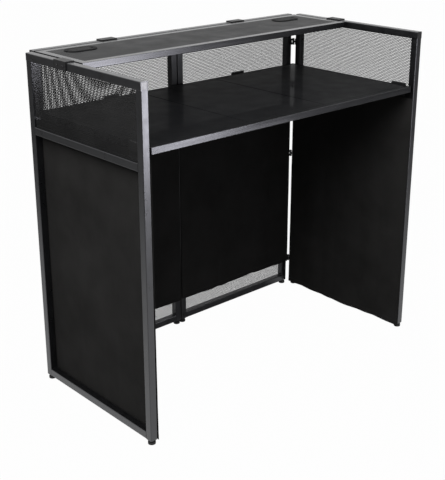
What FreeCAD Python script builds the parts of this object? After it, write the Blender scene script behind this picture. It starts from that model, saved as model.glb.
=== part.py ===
import FreeCAD, Part
import os
import re
import Sketcher

# A folding booth for a disc jockey: four equal framed panels with perforated infill and cloth scrims,
# hinged in a row, carrying a table on the middle rails and a narrow shelf on the top rails.
# Millimetres, +Z up, the operator stands at -Y, the audience at +Y, the floor is at zero height.

SIZES = {
    # panel frames of square tube
    "panel_width": 585,
    "panel_height": 1130,
    "tube_size": 25,
    "tube_wall": 1.5,
    "post_floor": 4,
    "mid_rail_drop": 235,
    "cap_depth": 10,
    # how the panels stand to one another
    "corner_gap": 11,
    "centre_gap": 3,
    "centre_axis": 6.5,
    # perforated sheets
    "sheet_gauge": 1.5,
    "sheet_setback": 7,
    "grid_web": 12,
    # cloth scrims
    "cloth_gauge": 1,
    "strip_gauge": 3,
    "strip_height": 25,
    "scrim_margin": 0.5,
    "scrim_drop": 3,
    "front_hem_rise": 62,
    "side_hem_rise": 8,
    "fold_depth": 5,
    # hinges
    "hinge_height": 24,
    "knuckle_radius": 4.5,
    "knuckle_gap": 0.3,
    "pin_radius": 2.5,
    "pin_clearance": 0.05,
    "pin_head_radius": 3.8,
    "pin_head_height": 1.5,
    "leaf_gauge": 2.5,
    "leaf_length": 10,
    "leaf_clearance": 0.5,
    # levelling feet
    "foot_height": 15,
    "foot_radius": 12.5,
    "foot_bevel": 1.5,
    "foot_pad": 9,
    "collar_radius": 9,
    "stem_radius": 4,
    "stem_length": 22,
    "stem_clearance": 0.08,
    # brackets on the rails
    "plate_gauge": 4,
    "bracket_length": 62,
    "bracket_base": 14,
    "bracket_rise": 5,
    "ledge_depth": 16,
    "saddle_from_edge": 35,
    "bracket_from_post": 10,
    "rest_gap": 0.3,
    "slit": 10,
    # screws
    "screw_radius": 2,
    "screw_clearance": 0.1,
    "screw_head_radius": 4.5,
    "screw_head_height": 1.6,
    "screw_reach": 4,
    # shelf
    "shelf_depth": 261,
    "shelf_thickness": 20,
    "shelf_board_gauge": 12,
    "shelf_trim": 25,
    # table
    "table_setback": 5,
    "table_rise": 43,
    "table_thickness": 21,
    "table_board_gauge": 12,
    "table_trim": 25,
    "table_bar": 40,
    "table_seam": 1,
    "rebate": 10,
    # oval cable grommets in the shelf
    "grommet_length": 115,
    "grommet_width": 63,
    "grommet_flange": 9,
    "grommet_flange_gauge": 2,
    "grommet_wall": 2,
    "grommet_lip": 3,
    "grommet_lip_gauge": 3,
    "grommet_clearance": 0.2,
    "grommet_from_end": 42,
    "grommet_from_front": 14,
    "lid_gauge": 3,
    "lid_clearance": 0.4,
    "notch_radius": 9,
}

OVERRUN = "tube_size"

# Where things sit, as shares of the size that they follow.
HINGE_SHARES = (0.09, 0.5, 0.905)
SEAM_SHARES = (0.333, 0.64)
SCREW_SHARES = (0.25, 0.75)
FRONT_BRACKET_SHARE = 0.5

# Openings of the upper sheets, a plain grid that stands for their fine perforation.
GRID_COLUMNS = 12
GRID_ROWS = 5

# Widths of the cloth's folds as shares of its width, and how far each swells as shares of the fold depth.
FOLD_WIDTH_SHARES = (0.13, 0.19, 0.11, 0.22, 0.15, 0.20)
FOLD_SWELL_SHARES = (0.55, 1.0, 0.4, 0.85, 0.6, 0.75)

# Places worked out from the driving dimensions.
HALF_WIDTH = "(panel_width + centre_gap / 2 + corner_gap + tube_size)"
DEPTH = "(panel_width + corner_gap + tube_size + centre_axis + knuckle_radius)"
NEAR_FACE = f"(-{DEPTH} / 2)"
SIDE_END = f"({NEAR_FACE} + panel_width)"
FRONT_INNER = f"({SIDE_END} + corner_gap)"
INNER_HALF = f"({HALF_WIDTH} - tube_size)"
TOP = "(foot_height + panel_height)"
MID = f"({TOP} - mid_rail_drop)"
TABLE_TOP = f"({MID} + table_rise)"
BORE = "(tube_size - 2 * tube_wall)"
REACH = "(panel_width - 2 * tube_size)"
SHEET_FACE = "(tube_size - sheet_setback - sheet_gauge)"
SHELF_HALF = f"({INNER_HALF} - slit)"
SHELF_FAR = f"({FRONT_INNER} - slit)"
SHELF_NEAR = f"({SHELF_FAR} - shelf_depth)"
TABLE_NEAR = f"({NEAR_FACE} + table_setback)"
TABLE_DEPTH = f"({SHELF_FAR} - {TABLE_NEAR})"
SADDLE_FROM_NEAR = f"({SHELF_NEAR} + saddle_from_edge - {NEAR_FACE})"

doc = FreeCAD.newDocument("DjBooth")
sheet = doc.addObject("Spreadsheet::Sheet", "Sizes")
nodes = []


def worked(text):
    """The expression with every size read from the sheet."""
    return re.sub(r"[a-z_]+", lambda found: "Sizes." + found.group(), text)


def value(text):
    """The number that an expression comes to, for shapes that are set directly."""
    return float(sheet.evalExpression(worked(text)))


def bind(piece, **sizes):
    for name, text in sizes.items():
        piece.setExpression(name, worked(text))
    return piece


def move(piece, x="0", y="0", z="0"):
    for axis, text in zip("xyz", (x, y, z)):
        piece.setExpression("Placement.Base." + axis, worked(text))
    return piece


def box(size, at):
    piece = doc.addObject("Part::Box", "box")
    bind(piece, Length=size[0], Width=size[1], Height=size[2])
    return move(piece, *at)


def rod(radius, length, at, turn=None):
    """A cylinder along Z, or turned by (axis, degrees)."""
    piece = doc.addObject("Part::Cylinder", "rod")
    bind(piece, Radius=radius, Height=length)
    if turn:
        piece.Placement = FreeCAD.Placement(FreeCAD.Vector(), FreeCAD.Rotation(*turn))
    return move(piece, *at)


def oval(length, width, height, at):
    """A plate with round ends, long in X, its centre at the point given."""
    x, y, z = at
    straight = f"({length} - {width})"
    ends = [rod(f"{width} / 2", height, (f"{x} + {sign} * {straight} / 2", y, z)) for sign in (-1, 1)]
    middle = box((straight, width, height), (f"{x} - {straight} / 2", f"{y} - {width} / 2", z))
    return fuse(middle, *ends)


def fuse(*pieces):
    whole = doc.addObject("Part::MultiFuse", "fuse")
    whole.Shapes = list(pieces)
    return whole


def cut(base, *tools):
    rest = doc.addObject("Part::Cut", "cut")
    rest.Base = base
    rest.Tool = tools[0] if len(tools) == 1 else fuse(*tools)
    return rest


def group(*pieces):
    whole = doc.addObject("Part::Compound", "group")
    whole.Links = list(pieces)
    return whole


def outlineBody(name, role, points):
    """A body with one sketch: a closed outline of straight lines, each corner bound to the sheet."""
    body = doc.addObject("PartDesign::Body", name)
    plane = next(part for part in body.Origin.OriginFeatures if part.Role == role)
    sketch = body.newObject("Sketcher::SketchObject", name + "_outline")
    sketch.AttachmentSupport = [(plane, "")]
    sketch.MapMode = "FlatFace"
    corners = [FreeCAD.Vector(value(across), value(up), 0) for across, up in points]
    count = len(corners)
    for index, corner in enumerate(corners):
        sketch.addGeometry(Part.LineSegment(corner, corners[(index + 1) % count]))
    for index in range(count):
        sketch.addConstraint(Sketcher.Constraint("Coincident", index, 2, (index + 1) % count, 1))
    for index, (corner, texts) in enumerate(zip(corners, points)):
        for kind, start, text in zip(("DistanceX", "DistanceY"), corner, texts):
            made = sketch.addConstraint(Sketcher.Constraint(kind, -1, 1, index, 1, start))
            sketch.setExpression(f"Constraints[{made}]", worked(text))
    return body, sketch


def node(label, piece):
    piece.Label = label
    nodes.append(piece)
    return piece


# Each panel has its own frame: u along its width, n from its inner face outward, z up.
# Which way the panel is turned about Z, and where its own origin stands.
PANELS = {
    "left_side": ("left", f"-{INNER_HALF}", NEAR_FACE),
    "front_left": ("ahead", "-(centre_gap / 2 + panel_width)", FRONT_INNER),
    "front_right": ("ahead", "centre_gap / 2", FRONT_INNER),
    "right_side": ("right", INNER_HALF, SIDE_END),
}


def stand(piece, panel, u="0", n="0"):
    """Turns a piece drawn in a panel's frame and sets it u along and n out from the panel's origin."""
    facing, x, y = PANELS[panel]
    degrees, across, along = {
        "left": (90, f"-({n})", u),
        "ahead": (0, u, n),
        "right": (-90, n, f"-({u})"),
    }[facing]
    piece.Placement = FreeCAD.Placement(FreeCAD.Vector(), FreeCAD.Rotation(FreeCAD.Vector(0, 0, 1), degrees))
    return move(piece, f"{x} + {across}", f"{y} + {along}")


def isSide(panel):
    return panel.endswith("side")


def saddleStart(panel):
    """Where along the panel its shelf saddle begins."""
    if panel == "left_side":
        return SADDLE_FROM_NEAR
    if panel == "right_side":
        return f"(panel_width - {SADDLE_FROM_NEAR} - bracket_length)"
    return f"(panel_width * {FRONT_BRACKET_SHARE} - bracket_length / 2)"


def bracketStart(panel):
    """Where along the panel its table bracket begins."""
    if panel == "left_side":
        return "(tube_size + bracket_from_post)"
    if panel == "right_side":
        return "(panel_width - tube_size - bracket_from_post - bracket_length)"
    return f"(panel_width * {FRONT_BRACKET_SHARE} - bracket_length / 2)"


SIDEWAYS = (FreeCAD.Vector(1, 0, 0), -90)


def saddleBores(panel, radius, length, start):
    """Rods along n through the saddle's outer leg, as screw holes or screw shanks."""
    height = f"{TOP} - tube_size / 2"
    places = [f"{saddleStart(panel)} + bracket_length * {share}" for share in SCREW_SHARES]
    return [rod(radius, length, (place, start, height), SIDEWAYS) for place in places]


def bracketBores(panel, radius, length, start):
    """Rods along z through the table bracket's base, as screw holes or screw shanks."""
    places = [f"{bracketStart(panel)} + bracket_length * {share}" for share in SCREW_SHARES]
    return [rod(radius, length, (place, "bracket_base / 2", start)) for place in places]


def makePosts(panel):
    posts = []
    for u in ("0", "panel_width - tube_size"):
        height = "panel_height - tube_size"
        outer = box(("tube_size", "tube_size", height), (u, "0", "foot_height"))
        bore = box((BORE, BORE, height), (f"{u} + tube_wall", "tube_wall", "foot_height + post_floor"))
        hole = rod("stem_radius + stem_clearance", f"post_floor + {OVERRUN}",
                   (f"{u} + tube_size / 2", "tube_size / 2", f"foot_height - {OVERRUN} / 2"))
        posts.append(cut(outer, bore, hole))
    stand(node(panel + "_posts", group(*posts)), panel)


def makeRails(panel):
    rails = []
    hole = "screw_radius + screw_clearance"
    drills = {
        TOP: saddleBores(panel, hole, f"tube_wall + {OVERRUN}", "tube_size - 2 * tube_wall"),
        MID: bracketBores(panel, hole, f"tube_wall + {OVERRUN}", f"{MID} - 2 * tube_wall"),
        "foot_height + tube_size": [],
    }
    for top, holes in drills.items():
        start, length = ("0", "panel_width") if top == TOP else ("tube_size", REACH)
        outer = box((length, "tube_size", "tube_size"), (start, "0", f"{top} - tube_size"))
        bore = box((f"{length} + 2 * {OVERRUN}", BORE, BORE),
                   (f"{start} - {OVERRUN}", "tube_wall", f"{top} - tube_size + tube_wall"))
        rails.append(cut(outer, bore, *holes))
    stand(node(panel + "_rails", group(*rails)), panel)


def makeEndCaps(panel):
    caps = [box(("cap_depth", BORE, BORE), (u, "tube_wall", f"{TOP} - tube_size + tube_wall"))
            for u in ("0", "panel_width - cap_depth")]
    stand(node(panel + "_end_caps", group(*caps)), panel)


def gridSheet(bottom, top):
    """A sheet with a plain grid of openings, an equal web between them and along its edges."""
    width, height, gauge = (value(size) for size in (REACH, f"{top} - ({bottom})", "sheet_gauge"))
    base, web, overrun = value(bottom), value("grid_web"), value(OVERRUN)
    across, up = (width - web) / GRID_COLUMNS, (height - web) / GRID_ROWS
    openings = [Part.makeBox(across - web, gauge + 2 * overrun, up - web,
                             FreeCAD.Vector(web + column * across, -overrun, base + web + row * up))
                for column in range(GRID_COLUMNS) for row in range(GRID_ROWS)]
    infill = doc.addObject("Part::Feature", "infill")
    infill.Shape = Part.makeBox(width, gauge, height, FreeCAD.Vector(0, 0, base)).cut(openings)
    return infill


def makeSheets(panel):
    upper = gridSheet(MID, f"{TOP} - tube_size")
    stand(node(panel + "_upper_sheet", upper), panel, u="tube_size", n=SHEET_FACE)
    if isSide(panel):  # the scrim alone closes a side panel's lower half
        return
    bottom = "foot_height + tube_size"
    lower = box((REACH, "sheet_gauge", f"{MID} - tube_size - ({bottom})"), ("tube_size", SHEET_FACE, bottom))
    stand(node(panel + "_lower_sheet", group(lower)), panel)


def foldedEdge(width, depth, swells, height, clothGauge):
    """A closed strip of cloth seen from above: each fold an arc, the other face set back by the gauge."""
    starts = [0]
    for share in FOLD_WIDTH_SHARES:
        starts.append(starts[-1] + share * width)
    faces = []
    for back in (0, clothGauge):
        face = []
        for index, swell in enumerate(swells):
            begin = FreeCAD.Vector(starts[index], -back, height)
            end = FreeCAD.Vector(starts[index + 1], -back, height)
            bulge = (begin + end) / 2 - FreeCAD.Vector(0, depth * swell, 0)
            curve = Part.Arc(begin, bulge, end) if depth else Part.LineSegment(begin, end)
            face.append(curve.toShape())
        faces.append(face)
    near, far = faces
    rightEnd = Part.makeLine(near[-1].Vertexes[-1].Point, far[-1].Vertexes[-1].Point)
    leftEnd = Part.makeLine(far[0].Vertexes[0].Point, near[0].Vertexes[0].Point)
    return Part.Wire(near + [rightEnd] + far[::-1] + [leftEnd])


def makeScrim(panel):
    """Cloth hung from a sewn band on the middle rail, flat at the band and gently folded at the hem."""
    width = value("panel_width - 2 * scrim_margin")
    bandTop = value(f"{MID} - scrim_drop")
    bandFoot = bandTop - value("strip_height")
    hem = value("side_hem_rise") if isSide(panel) else value("foot_height + tube_size + front_hem_rise")
    cloth, strip = value("cloth_gauge"), value("strip_gauge")
    swells = FOLD_SWELL_SHARES if isSide(panel) else FOLD_SWELL_SHARES[::-1]
    flat = foldedEdge(width, 0, swells, bandFoot, cloth)
    folded = foldedEdge(width, value("fold_depth"), swells, hem, cloth)
    hanging = Part.makeLoft([folded, flat], True, True)
    hanging.translate(FreeCAD.Vector(0, -strip, 0))
    band = Part.makeBox(width, strip + cloth, bandTop - bandFoot, FreeCAD.Vector(0, -strip - cloth, bandFoot))
    scrim = doc.addObject("Part::Feature", "scrim")
    scrim.Shape = band.fuse(hanging).removeSplitter()
    stand(node(panel + "_scrim", scrim), panel, u="scrim_margin")


def makeSaddle(panel):
    """A plate bent over the top rail, its inner leg turned in under the shelf's edge."""
    ledge = f"{TOP} - shelf_thickness - rest_gap"
    toe = "-plate_gauge - ledge_depth"
    body, sketch = outlineBody(panel + "_saddle_plate", "YZ_Plane", [
        ("-plate_gauge", f"{TOP} + plate_gauge"),
        ("tube_size + plate_gauge", f"{TOP} + plate_gauge"),
        ("tube_size + plate_gauge", f"{TOP} - tube_size"),
        ("tube_size", f"{TOP} - tube_size"),
        ("tube_size", TOP),
        ("0", TOP),
        ("0", f"{ledge} - plate_gauge"),
        (toe, f"{ledge} - plate_gauge"),
        (toe, ledge),
        ("-plate_gauge", ledge),
    ])
    pad = body.newObject("PartDesign::Pad", body.Name + "_pad")
    pad.Profile = sketch
    bind(pad, Length="bracket_length")
    stand(body, panel, u=saddleStart(panel))
    holes = saddleBores(panel, "screw_radius + screw_clearance", f"2 * {OVERRUN}", "tube_size - tube_wall")
    drills = stand(group(*holes), panel)
    node(panel + "_saddle", cut(body, drills))


def makeBracket(panel):
    """A plate on the middle rail, turned up beside the table's edge, with a ledge that carries the table."""
    ledge = f"{TABLE_TOP} - table_thickness - rest_gap"
    toe = "-plate_gauge - ledge_depth"
    crest = f"{TABLE_TOP} + bracket_rise"
    body, sketch = outlineBody(panel + "_bracket_plate", "YZ_Plane", [
        ("-plate_gauge", MID),
        ("bracket_base", MID),
        ("bracket_base", f"{MID} + plate_gauge"),
        ("0", f"{MID} + plate_gauge"),
        ("0", crest),
        ("-plate_gauge", crest),
        ("-plate_gauge", ledge),
        (toe, ledge),
        (toe, f"{ledge} - plate_gauge"),
        ("-plate_gauge", f"{ledge} - plate_gauge"),
    ])
    pad = body.newObject("PartDesign::Pad", body.Name + "_pad")
    pad.Profile = sketch
    bind(pad, Length="bracket_length")
    stand(body, panel, u=bracketStart(panel))
    holes = bracketBores(panel, "screw_radius + screw_clearance", f"2 * {OVERRUN}", f"{MID} - tube_wall")
    drills = stand(group(*holes), panel)
    node(panel + "_bracket", cut(body, drills))


def makeScrews(panel):
    """Button-head screws: two through the saddle's outer leg, two down through the bracket's base."""
    reach = "plate_gauge + screw_reach"
    outer = "tube_size + plate_gauge"
    base = f"{MID} + plate_gauge"
    shanks = saddleBores(panel, "screw_radius", reach, "tube_size - screw_reach")
    shanks += bracketBores(panel, "screw_radius", reach, f"{MID} - screw_reach")
    heads = saddleBores(panel, "screw_head_radius", "screw_head_height", outer)
    heads += bracketBores(panel, "screw_head_radius", "screw_head_height", base)
    screws = [fuse(shank, head) for shank, head in zip(shanks, heads)]
    stand(node(panel + "_screws", group(*screws)), panel)


def makeFoot(label, panel, u):
    """A round levelling foot: rubber pad, collar and threaded stem, turned about its own axis."""
    under = "foot_height - rest_gap"
    body, sketch = outlineBody(label, "XZ_Plane", [
        ("0", "0"),
        ("foot_radius - foot_bevel", "0"),
        ("foot_radius", "foot_bevel"),
        ("foot_radius", "foot_pad"),
        ("collar_radius", "foot_pad"),
        ("collar_radius", under),
        ("stem_radius", under),
        ("stem_radius", "foot_height + stem_length"),
        ("0", "foot_height + stem_length"),
    ])
    turned = body.newObject("PartDesign::Revolution", label + "_turned")
    turned.Profile = sketch
    turned.ReferenceAxis = (sketch, ["V_Axis"])
    stand(node(label, body), panel, u=u, n="tube_size / 2")


def makeLeaves(label, panel, u, n, side, face, offset, knuckles):
    """Three hinge leaves on one panel: plates on the tube's face, knuckles round the axis at (u, n)."""
    pitch = "hinge_height / 3"
    root = "(knuckle_radius + leaf_clearance)"
    inner = f"({offset} - leaf_gauge)" if face > 0 else f"(-{offset})"
    leaves = []
    for share in HINGE_SHARES:
        foot = f"foot_height + panel_height * {share} - hinge_height / 2"
        plateStart = root if side > 0 else f"-{root} - leaf_length"
        pieces = [box(("leaf_length", "leaf_gauge", "hinge_height"), (plateStart, inner, foot))]
        for index in knuckles:
            trim = "knuckle_gap" if index == 1 else "0"
            bottom = f"{foot} + {index} * {pitch} + {trim}"
            tall = f"{pitch} - 2 * {trim}"
            pieces.append(box((root, "leaf_gauge", tall), ("0" if side > 0 else f"-{root}", inner, bottom)))
            pieces.append(rod("knuckle_radius", tall, ("0", "0", bottom)))
        bore = rod("pin_radius + pin_clearance", f"hinge_height + 2 * {OVERRUN}",
                   ("0", "0", f"{foot} - {OVERRUN}"))
        leaves.append(cut(fuse(*pieces), bore))
    stand(node(label, group(*leaves)), panel, u=u, n=n)


def makePins(label, panel, u, n):
    pins = []
    for share in HINGE_SHARES:
        foot = f"foot_height + panel_height * {share} - hinge_height / 2"
        shank = rod("pin_radius", "hinge_height", ("0", "0", foot))
        head = rod("pin_head_radius", "pin_head_height", ("0", "0", f"{foot} + hinge_height"))
        pins.append(fuse(shank, head))
    stand(node(label, group(*pins)), panel, u=u, n=n)


def makeHinges():
    before, past = "-corner_gap / 2", "panel_width + corner_gap / 2"
    corner = "corner_gap / 2"
    outer, inner = (0, 2), (1,)
    makeLeaves("left_corner_fixed_leaves", "front_left", before, before, 1, 1, corner, outer)
    makeLeaves("left_corner_swing_leaves", "left_side", past, before, -1, 1, corner, inner)
    makePins("left_corner_pins", "front_left", before, before)
    makeLeaves("right_corner_fixed_leaves", "front_right", past, before, -1, 1, corner, outer)
    makeLeaves("right_corner_swing_leaves", "right_side", before, before, 1, 1, corner, inner)
    makePins("right_corner_pins", "front_right", past, before)
    axis = "tube_size + centre_axis"
    start, end = "-centre_gap / 2", "panel_width + centre_gap / 2"
    makeLeaves("centre_fixed_leaves", "front_right", start, axis, 1, -1, "centre_axis", outer)
    makeLeaves("centre_swing_leaves", "front_left", end, axis, -1, -1, "centre_axis", inner)
    makePins("centre_pins", "front_right", start, axis)


def rebatedFrame(half, near, depth, top, thickness, boardGauge, trim, bars):
    """A framed top: an edge trim with a rebate that the boards lie in, and bars under the seams."""
    width = f"(2 * {half})"
    outer = box((width, depth, thickness), (f"-{half}", near, f"{top} - {thickness}"))
    well = box((f"{width} - 2 * {trim}", f"{depth} - 2 * {trim}", f"{boardGauge} + {OVERRUN}"),
               (f"-{half} + {trim}", f"{near} + {trim}", f"{top} - {boardGauge}"))
    margin = f"({trim} + rebate)"
    edges = [f"-{half} + {margin}"]
    for bar in bars:
        edges += [f"{bar} - table_bar / 2", f"{bar} + table_bar / 2"]
    edges.append(f"{half} - {margin}")
    openings = [box((f"{end} - ({start})", f"{depth} - 2 * {margin}", f"{thickness} + {OVERRUN}"),
                    (start, f"{near} + {margin}", f"{top} - {thickness} - {OVERRUN} / 2"))
                for start, end in zip(edges[::2], edges[1::2])]
    return cut(outer, well, *openings)


def grommetPlaces():
    reach = f"({SHELF_HALF} - shelf_trim - grommet_from_end - grommet_length / 2)"
    y = f"{SHELF_FAR} - shelf_trim - grommet_from_front - grommet_width / 2"
    return {"left": (f"-{reach}", y), "right": (reach, y)}


def makeShelf():
    node("shelf_frame", rebatedFrame(SHELF_HALF, SHELF_NEAR, "shelf_depth", TOP, "shelf_thickness",
                                     "shelf_board_gauge", "shelf_trim", []))
    board = box((f"2 * ({SHELF_HALF} - shelf_trim)", "shelf_depth - 2 * shelf_trim", "shelf_board_gauge"),
                (f"-{SHELF_HALF} + shelf_trim", f"{SHELF_NEAR} + shelf_trim", f"{TOP} - shelf_board_gauge"))
    sleeve = [f"(grommet_{way} - 2 * grommet_flange)" for way in ("length", "width")]
    seat = [f"({size} - 2 * grommet_wall)" for size in sleeve]
    throat = [f"({size} - 2 * grommet_lip)" for size in seat]
    crown = f"{TOP} + grommet_flange_gauge"
    tall = "(grommet_flange_gauge + shelf_board_gauge)"
    holes, rings = [], []
    for side, (x, y) in grommetPlaces().items():
        room = [f"({size} + 2 * grommet_clearance)" for size in sleeve]
        holes.append(oval(*room, f"shelf_board_gauge + {OVERRUN}",
                          (x, y, f"{TOP} - shelf_board_gauge - {OVERRUN} / 2")))
        flange = oval("grommet_length", "grommet_width", "grommet_flange_gauge", (x, y, TOP))
        wall = oval(*sleeve, tall, (x, y, f"{TOP} - shelf_board_gauge"))
        lipTop = f"{crown} - lid_gauge - rest_gap"
        well = oval(*seat, f"lid_gauge + rest_gap + {OVERRUN}", (x, y, lipTop))
        way = oval(*throat, f"{tall} + {OVERRUN}", (x, y, f"{TOP} - shelf_board_gauge - {OVERRUN} / 2"))
        under = oval(*seat, f"{tall} - lid_gauge - rest_gap - grommet_lip_gauge + {OVERRUN}",
                     (x, y, f"{TOP} - shelf_board_gauge - {OVERRUN}"))
        rings.append(cut(fuse(flange, wall), well, way, under))
        plate = [f"({size} - 2 * lid_clearance)" for size in seat]
        lid = oval(*plate, "lid_gauge", (x, y, f"{crown} - lid_gauge"))
        notch = rod("notch_radius", f"lid_gauge + {OVERRUN}",
                    (f"{x} + {plate[0]} / 2", y, f"{crown} - lid_gauge - {OVERRUN} / 2"))
        node(f"{side}_grommet_lid", cut(lid, notch))
    node("shelf_board", cut(board, *holes))
    node("grommet_rings", group(*rings))


def makeTable():
    half = SHELF_HALF
    seams = [f"(-{half} + table_trim + 2 * ({half} - table_trim) * {share})" for share in SEAM_SHARES]
    node("table_frame", rebatedFrame(half, TABLE_NEAR, TABLE_DEPTH, TABLE_TOP, "table_thickness",
                                     "table_board_gauge", "table_trim", seams))
    edges = [f"(-{half} + table_trim - table_seam / 2)"] + seams + [f"({half} - table_trim + table_seam / 2)"]
    y, z = f"{TABLE_NEAR} + table_trim", f"{TABLE_TOP} - table_board_gauge"
    boards = [box((f"{end} - {start} - table_seam", f"{TABLE_DEPTH} - 2 * table_trim", "table_board_gauge"),
                  (f"{start} + table_seam / 2", y, z))
              for start, end in zip(edges[:-1], edges[1:])]
    node("table_boards", group(*boards))


def makeFeet():
    ends = {
        "left_side": ("near", "far"),
        "front_left": ("corner", "centre"),
        "front_right": ("centre", "corner"),
        "right_side": ("far", "near"),
    }
    for panel, names in ends.items():
        for name, u in zip(names, ("tube_size / 2", "panel_width - tube_size / 2")):
            makeFoot(f"{panel}_{name}_foot", panel, u)


def fillSheet():
    for row, (alias, size) in enumerate(SIZES.items(), start=1):
        sheet.set(f"A{row}", alias.replace("_", " "))
        sheet.set(f"B{row}", str(size))
        sheet.setAlias(f"B{row}", alias)
    doc.recompute()


def checkAndWrite():
    doc.recompute()
    for piece in doc.Objects:
        if "Invalid" in piece.State or "Error" in piece.State:
            raise RuntimeError(f"{piece.Label} failed: {piece.State}")
    for piece in nodes:
        if piece.Shape.isNull() or not piece.Shape.isValid() or not piece.Shape.Solids:
            raise RuntimeError(f"{piece.Label} has no valid solid")
    os.makedirs("parts", exist_ok=True)
    for piece in nodes:
        piece.Shape.exportStep(os.path.join("parts", piece.Label + ".step"))
        print(piece.Label, len(piece.Shape.Solids), round(piece.Shape.Volume))


fillSheet()
for panelName in PANELS:
    makePosts(panelName)
    makeRails(panelName)
    makeEndCaps(panelName)
    makeSheets(panelName)
    makeScrim(panelName)
    makeSaddle(panelName)
    makeBracket(panelName)
    makeScrews(panelName)
makeFeet()
makeHinges()
makeShelf()
makeTable()
checkAndWrite()
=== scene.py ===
import math
import bpy
from mathutils import Matrix, Vector


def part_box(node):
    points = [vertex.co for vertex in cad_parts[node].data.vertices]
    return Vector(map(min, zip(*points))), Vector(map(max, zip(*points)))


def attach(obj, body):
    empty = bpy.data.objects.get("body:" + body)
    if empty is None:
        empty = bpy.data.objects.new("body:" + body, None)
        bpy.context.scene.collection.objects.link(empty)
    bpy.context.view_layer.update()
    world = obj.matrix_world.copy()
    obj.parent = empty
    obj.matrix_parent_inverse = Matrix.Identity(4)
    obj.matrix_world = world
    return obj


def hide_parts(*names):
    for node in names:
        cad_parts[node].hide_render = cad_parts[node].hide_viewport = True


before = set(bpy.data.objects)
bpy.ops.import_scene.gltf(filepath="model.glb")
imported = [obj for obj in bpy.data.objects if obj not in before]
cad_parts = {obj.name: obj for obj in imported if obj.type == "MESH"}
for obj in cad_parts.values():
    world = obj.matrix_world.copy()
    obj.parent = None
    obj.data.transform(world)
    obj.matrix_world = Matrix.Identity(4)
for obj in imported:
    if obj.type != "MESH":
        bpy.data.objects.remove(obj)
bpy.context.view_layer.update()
scene = bpy.context.scene
scene.view_settings.view_transform = "Standard"
print("frame loaded:", len(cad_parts), "nodes")


# small helpers for working as by hand

def selectNone():
    if bpy.context.object and bpy.context.object.mode != "OBJECT":
        bpy.ops.object.mode_set(mode="OBJECT")
    bpy.ops.object.select_all(action="DESELECT")


def selectOnly(piece):
    selectNone()
    bpy.context.view_layer.objects.active = piece
    piece.select_set(True)


def fixPlace(piece, name):  # the place goes into the mesh
    bpy.ops.object.transform_apply(location=True, rotation=True, scale=True)
    piece.name = piece.data.name = name
    return piece


def addBlock(name, low, high):
    selectNone()
    middle = [(a + b) / 2 for a, b in zip(low, high)]
    size = [b - a for a, b in zip(low, high)]
    bpy.ops.mesh.primitive_cube_add(size=1, location=middle, scale=size)
    return fixPlace(bpy.context.object, name)


def addRod(name, radius, length, at, turn=(0, 0, 0), sides=24):
    selectNone()
    bpy.ops.mesh.primitive_cylinder_add(vertices=sides, radius=radius, depth=length,
                                        location=at, rotation=turn)
    return fixPlace(bpy.context.object, name)


def startPicking(piece, kind):  # nothing selected, ready to pick by place or normal
    selectOnly(piece)
    bpy.ops.object.mode_set(mode="EDIT")
    bpy.ops.mesh.select_mode(type=kind)
    bpy.ops.mesh.select_all(action="DESELECT")
    bpy.ops.object.mode_set(mode="OBJECT")


def editFaces(piece, wanted):
    startPicking(piece, "FACE")
    for face in piece.data.polygons:
        face.select = wanted(face)
    bpy.ops.object.mode_set(mode="EDIT")


def editEdges(piece, wanted):
    startPicking(piece, "EDGE")
    points = piece.data.vertices
    for edge in piece.data.edges:
        edge.select = wanted(*(points[index].co for index in edge.vertices))
    bpy.ops.object.mode_set(mode="EDIT")


def editPoints(piece, wanted):
    startPicking(piece, "VERT")
    for point in piece.data.vertices:
        point.select = wanted(point.co)
    bpy.ops.object.mode_set(mode="EDIT")


def editAll(piece):
    selectOnly(piece)
    bpy.ops.object.mode_set(mode="EDIT")
    bpy.ops.mesh.select_all(action="SELECT")


def leaveEdit():
    bpy.ops.object.mode_set(mode="OBJECT")


def applyModifier(piece, kind, **settings):
    selectOnly(piece)
    modifier = piece.modifiers.new(kind.lower(), kind)
    for key, value in settings.items():
        setattr(modifier, key, value)
    bpy.ops.object.modifier_apply(modifier=modifier.name)


meshing = {
    "facing": 0.99,  # a face or edge counts as square to an axis from here
    "softAngle": 35, "edgeSegments": 2, "mergeReach": 0.00001, "flatAngle": 0.5,
    "smoothAngle": 35, "finePiece": 20000, "flatWeight": 90,
}


def softenEdges(piece, width):
    applyModifier(piece, "BEVEL", width=width, segments=meshing["edgeSegments"], limit_method="ANGLE",
                  angle_limit=math.radians(meshing["softAngle"]), miter_outer="MITER_ARC")


def joinAll(name, pieces):
    selectNone()
    for piece in pieces:
        piece.select_set(True)
    bpy.context.view_layer.objects.active = pieces[0]
    bpy.ops.object.join()
    whole = bpy.context.object
    whole.name = whole.data.name = name
    return whole


def copyTo(pattern, name, place):  # a copy with its own mesh, its place in the mesh
    copy = bpy.data.objects.new(name, pattern.data.copy())
    copy.data.name = name
    copy.data.transform(place)
    scene.collection.objects.link(copy)
    return copy


def softCopy(nodeName, name, width):  # a CAD node's own shape with its edges broken
    selectNone()
    copy = bpy.data.objects.new(name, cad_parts[nodeName].data.copy())
    scene.collection.objects.link(copy)
    editAll(copy)
    bpy.ops.mesh.remove_doubles(threshold=meshing["mergeReach"])
    bpy.ops.mesh.dissolve_limited(angle_limit=math.radians(meshing["flatAngle"]))
    leaveEdit()
    copy.data.materials.clear()
    softenEdges(copy, width)
    return copy


def camel(nodeName):  # left_side becomes leftSide
    first, *others = nodeName.split("_")
    return first + "".join(word.title() for word in others)


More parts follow.
